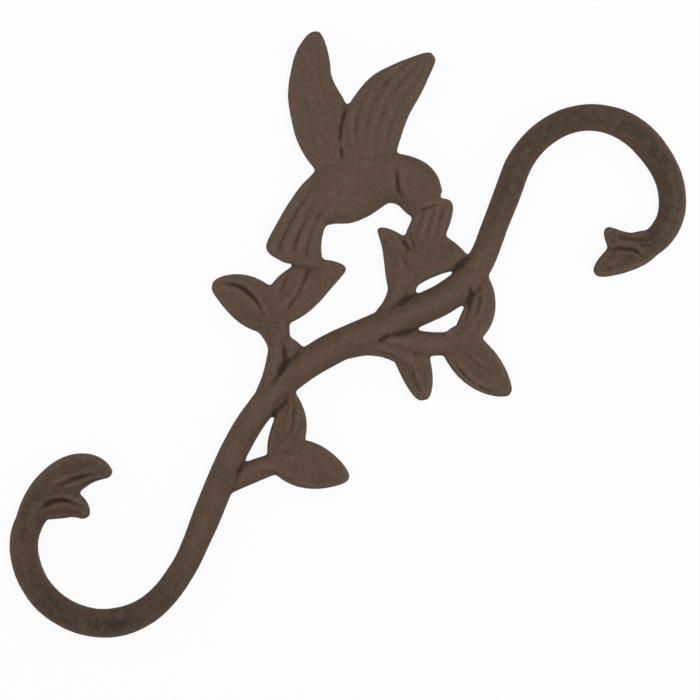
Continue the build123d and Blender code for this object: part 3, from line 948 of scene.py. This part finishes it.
class PLANTHOOK_OT_casting(bpy.types.Operator):
    """Make the casting: rod, sprigs, bird and curled ends in one skin"""

    bl_idname = "plant_hook.casting"
    bl_label = "Make Casting"

    def execute(self, context):
        sizes = context.scene.plant_hook_sizes
        mesh = joined_mesh(casting_forms(sizes), sizes.mesh_pitch)
        mesh.name = "iron_casting"
        if len(mesh.polygons) * 2 >= TRIANGLE_LIMIT:
            raise RuntimeError(f"the casting has {len(mesh.polygons)} faces; widen the mesh pitch")
        cast = Skin(mesh)
        cast.fillet(sizes.fillet_passes, FILLET_FILL, FILLET_WEAR)
        cast.points += cast.normals * (sizes.paint_depth / MM)
        for rows, places, *cut in FEATHERED:
            for start, end in places:
                cast.score(plate_line(rows, start, end), *cut)
        for line, width, depth, ridge in SCORED:
            cast.score(line, width, depth * sizes.line_depth, ridge * sizes.line_depth)
        cast.refresh()
        cast.fillet(1, LAST_SMOOTHING, LAST_SMOOTHING)
        coarse, fine, broad = (
            cell_noise(cast.points, *noise) for noise in (COARSE_GRAIN, FINE_GRAIN, WOBBLE))
        grain = 0.6 * coarse + 0.4 * fine
        rise = grain * sizes.grain_depth + broad * sizes.wobble_depth
        cast.points += cast.normals * (rise / MM)[:, None]
        cast.refresh()
        # Masks for rust, for painted shade in hollows and for the paler fine ridges
        cast.store("hollow", cast.hollow(*FINE_HOLLOW))
        cast.store("dip", cast.hollow(*BROAD_HOLLOW))
        # Mask of the painted cool reflection on faces that turn sideways
        sides = 1 - np.abs(cast.smoothed(cast.normals, 3)[:, 1:2])
        cast.store("edge_reflection", cast.smoothed(sides, 4)[:, 0])
        # Mask of the painted shade on the rod's crests, joined with the darker curled ends
        crest_shade = cast.crest_shade(rod_line(sizes)[0][::2])
        cast.store("crest_shade", np.maximum(crest_shade, LOBE_SHADE * cast.lobe_ends()))
        upper = -sizes.upper_bowl / MM
        cast.store("inner", cast.inner_side(((0, upper), (0, upper - sizes.bowl_spacing / MM))))
        mesh.polygons.foreach_set("use_smooth", np.ones(len(mesh.polygons), bool))
        mesh.materials.clear()
        mesh.materials.append(brown_iron(context.scene.plant_hook_colours))
        casting = bpy.data.objects.new("iron_casting", mesh)
        context.scene.collection.objects.link(casting)
        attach(casting, "root")
        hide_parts(CASTING_NODE)
        return {"FINISHED"}


def flat_sheet(name, corners):
    """Rectangle from four corners."""
    mesh = bpy.data.meshes.new(name)
    mesh.from_pydata(corners, [], [(0, 1, 2, 3)])
    sheet = bpy.data.objects.new(name, mesh)
    bpy.context.scene.collection.objects.link(sheet)
    return sheet


def soft_lamp(name, place, target, size, power):
    """Square lamp that faces a target."""
    lamp = bpy.data.lights.new(name, "AREA")
    lamp.shape = "SQUARE"
    lamp.size = size
    lamp.energy = power
    holder = bpy.data.objects.new(name, lamp)
    back = unit(np.asarray(place, float) - target)
    side = unit(np.cross((0, 0, 1), back))
    turn = np.eye(4)
    turn[:3] = np.stack([side, np.cross(back, side), back, place], axis=-1)
    holder.matrix_world = Matrix(turn.tolist())
    bpy.context.scene.collection.objects.link(holder)


class PLANTHOOK_OT_stage(bpy.types.Operator):
    """Set the floor, the backdrop, the lamps, the sky and the camera"""

    bl_idname = "plant_hook.stage"
    bl_label = "Set Stage"

    def execute(self, context):
        stage = context.scene.plant_hook_stage
        colours = context.scene.plant_hook_colours
        low, high = (np.array(corner) for corner in CAD_BOX)
        self.ground(colours, low[2] - stage.floor_gap, high[1] + stage.backdrop_gap)
        centre = np.array(VIEW_CENTRE)
        self.light(stage, centre)
        self.camera(context, stage, centre)
        return {"FINISHED"}

    def ground(self, colours, floor_level, backdrop_depth):
        """Floor under the casting and backdrop close behind it."""
        reach = STAGE_REACH
        floor = flat_sheet("floor", [
            (-reach, -reach, floor_level), (reach, -reach, floor_level),
            (reach, reach, floor_level), (-reach, reach, floor_level)])
        floor.data.materials.append(paper(colours, "floor_paper", False))
        backdrop = flat_sheet("backdrop", [
            (-reach, backdrop_depth, floor_level), (reach, backdrop_depth, floor_level),
            (reach, backdrop_depth, reach), (-reach, backdrop_depth, reach)])
        backdrop.data.materials.append(paper(colours, "backdrop_paper", True))

    def light(self, stage, centre):
        """Even sky, white to the eye, and soft lamps on all sides of the view."""
        world = bpy.data.worlds.new("studio_sky")
        bpy.context.scene.world = world
        paint = Paint(world)
        strength = stage.sky_strength + paint.seen() * (1 - stage.sky_strength)
        sky = paint.add("ShaderNodeBackground", None, {"Color": (1, 1, 1, 1), "Strength": strength})
        paint.add("ShaderNodeOutputWorld", None, {"Surface": sky})
        for name, place, size, share in LAMPS:
            soft_lamp(name, centre + np.array(place), centre, size, stage.lamp_power * share)

    def camera(self, context, stage, centre):
        """Camera in front, turned about its view as the picture is."""
        data = bpy.data.cameras.new("front_camera")
        data.lens = data.sensor_width * stage.view_distance / stage.view_width
        camera = bpy.data.objects.new("front_camera", data)
        context.scene.collection.objects.link(camera)
        right = np.array([np.cos(stage.view_roll), 0, np.sin(stage.view_roll)])
        back = np.array([0, -1.0, 0])
        turn = np.eye(4)
        place = centre + back * stage.view_distance
        turn[:3] = np.stack([right, np.cross(back, right), back, place], axis=-1)
        camera.matrix_world = Matrix(turn.tolist())
        context.scene.camera = camera
        context.scene.view_settings.view_transform = "Standard"


class PLANTHOOK_PT_panel(bpy.types.Panel):
    """Sizes, colours and steps of the plant hook"""

    bl_idname = "PLANTHOOK_PT_panel"
    bl_label = "Plant Hook"
    bl_space_type = "VIEW_3D"
    bl_region_type = "UI"
    bl_category = "Plant Hook"

    def draw(self, context):
        scene = context.scene
        for group in (scene.plant_hook_sizes, scene.plant_hook_colours, scene.plant_hook_stage):
            box = self.layout.box()
            for name in group.__annotations__:
                box.prop(group, name)
        self.layout.operator(PLANTHOOK_OT_casting.bl_idname)
        self.layout.operator(PLANTHOOK_OT_stage.bl_idname)


CLASSES = (
    PlantHookSizes,
    PlantHookColours,
    PlantHookStage,
    PLANTHOOK_OT_casting,
    PLANTHOOK_OT_stage,
    PLANTHOOK_PT_panel,
)


def register():
    """Register the classes and hang the settings on the scene."""
    for cls in CLASSES:
        bpy.utils.register_class(cls)
    bpy.types.Scene.plant_hook_sizes = bpy.props.PointerProperty(type=PlantHookSizes)
    bpy.types.Scene.plant_hook_colours = bpy.props.PointerProperty(type=PlantHookColours)
    bpy.types.Scene.plant_hook_stage = bpy.props.PointerProperty(type=PlantHookStage)


def unregister():
    """Take the settings off the scene and unregister the classes."""
    del bpy.types.Scene.plant_hook_stage
    del bpy.types.Scene.plant_hook_colours
    del bpy.types.Scene.plant_hook_sizes
    for cls in reversed(CLASSES):
        bpy.utils.unregister_class(cls)


def main():
    """Make the casting and its stage."""
    register()
    bpy.ops.plant_hook.casting()
    bpy.ops.plant_hook.stage()


if __name__ == "__main__":
    main()
